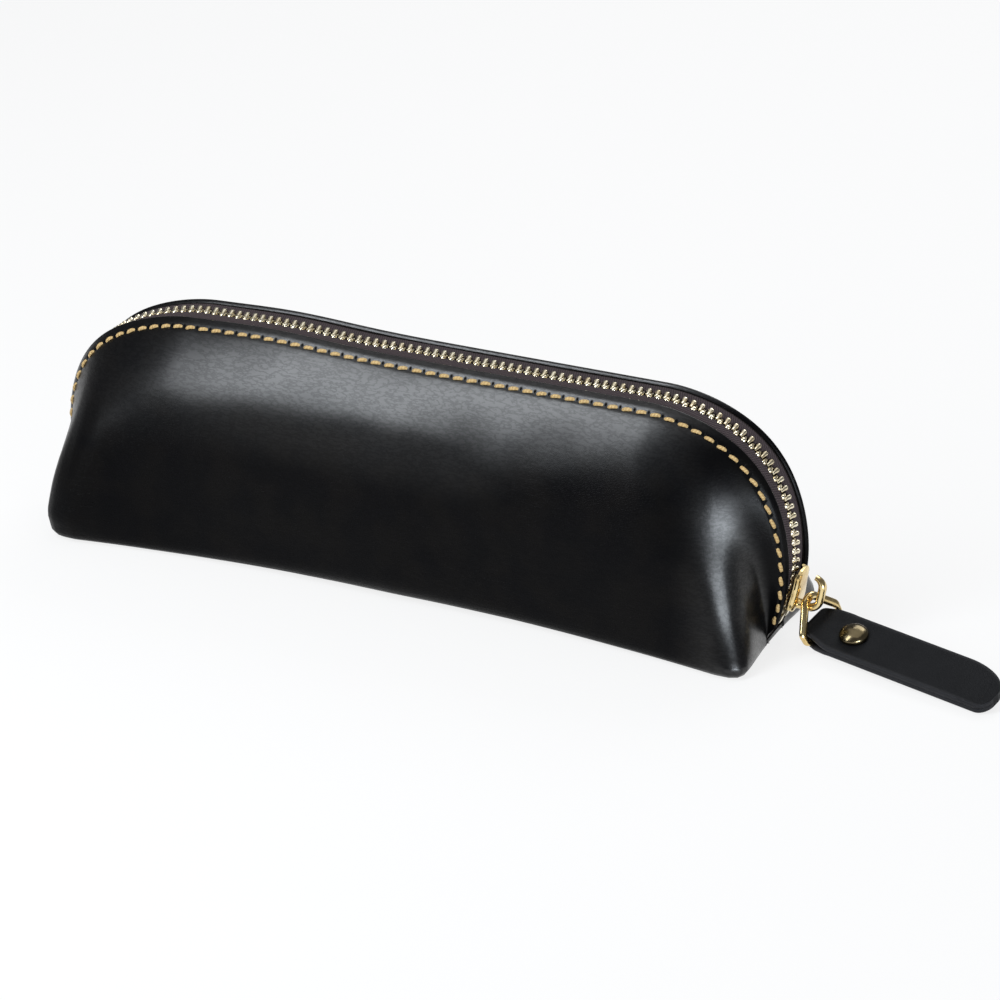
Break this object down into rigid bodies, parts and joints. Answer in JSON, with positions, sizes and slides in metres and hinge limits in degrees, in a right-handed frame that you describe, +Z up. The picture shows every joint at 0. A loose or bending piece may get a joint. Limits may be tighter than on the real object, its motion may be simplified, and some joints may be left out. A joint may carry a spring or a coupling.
{
  "type": "zipped leather pen case",
  "caption": "Slim boat-shaped leather pen case with a boxed base, an arched metal zip, contrast stitching and a riveted leather zip pull.",
  "frame": {"origin": "middle of the flat base's underside, on the surface that the case stands on", "axes": "+Z up, +X along the case towards the end with the zip slider, -Y to the front"},
  "size_m": [0.2654, 0.0554, 0.0624],
  "materials": {
    "black_leather": "smooth full-grain black leather with a soft sheen",
    "strap_leather": "matte black leather with a burnished edge",
    "zip_tape": "dark woven zip tape",
    "zip_brass": "pale antique brass",
    "pull_brass": "polished brass",
    "antique_brass": "darkened antique brass",
    "tan_thread": "waxed tan thread"
  },
  "bodies": {
    "base": {"base_panel": "black_leather"},
    "back_half": {"back_panel": "black_leather", "back_tape": "zip_tape", "back_teeth": "zip_brass", "back_top_stop": "zip_brass", "bottom_stop": "zip_brass", "back_stitching": "tan_thread"},
    "front_half": {"front_panel": "black_leather", "front_tape": "zip_tape", "front_teeth": "zip_brass", "front_top_stop": "zip_brass", "front_stitching": "tan_thread"},
    "slider": {"slider_body": "pull_brass", "slider_crown": "pull_brass"},
    "ring": {"pull_ring": "pull_brass"},
    "strap": {"pull_strap": "strap_leather", "rivet_cap": "antique_brass", "rivet_back": "antique_brass"}
  },
  "joints": [
    {"name": "back_fold", "type": "hinge", "parent": "base", "child": "back_half", "pos_m": [0, 0.0278, 0], "axis": [-1, 0, 0], "range_deg": [0, 12]},
    {"name": "front_fold", "type": "hinge", "parent": "base", "child": "front_half", "pos_m": [0, -0.0278, 0], "axis": [1, 0, 0], "range_deg": [0, 12]},
    {"name": "slider_travel", "type": "hinge", "parent": "back_half", "child": "slider", "pos_m": [0.064, 0, 0.022], "axis": [0, -1, 0], "range_deg": [0, 94], "deforming": ["front_teeth", "back_teeth"]},
    {"name": "ring_swing", "type": "hinge", "parent": "slider", "child": "ring", "pos_m": [0.10693, 0, 0.01285], "axis": [-0.25, -0.933, -0.2588], "range_deg": [-15, 70]},
    {"name": "strap_swing", "type": "hinge", "parent": "ring", "child": "strap", "pos_m": [0.11088, 0.00125, 0.00452], "axis": [-0.25, -0.933, -0.2588], "range_deg": [-75, 15]}
  ],
  "couplings": [
    {"joint": "front_fold", "follows": "back_fold", "ratio": 1}
  ]
}
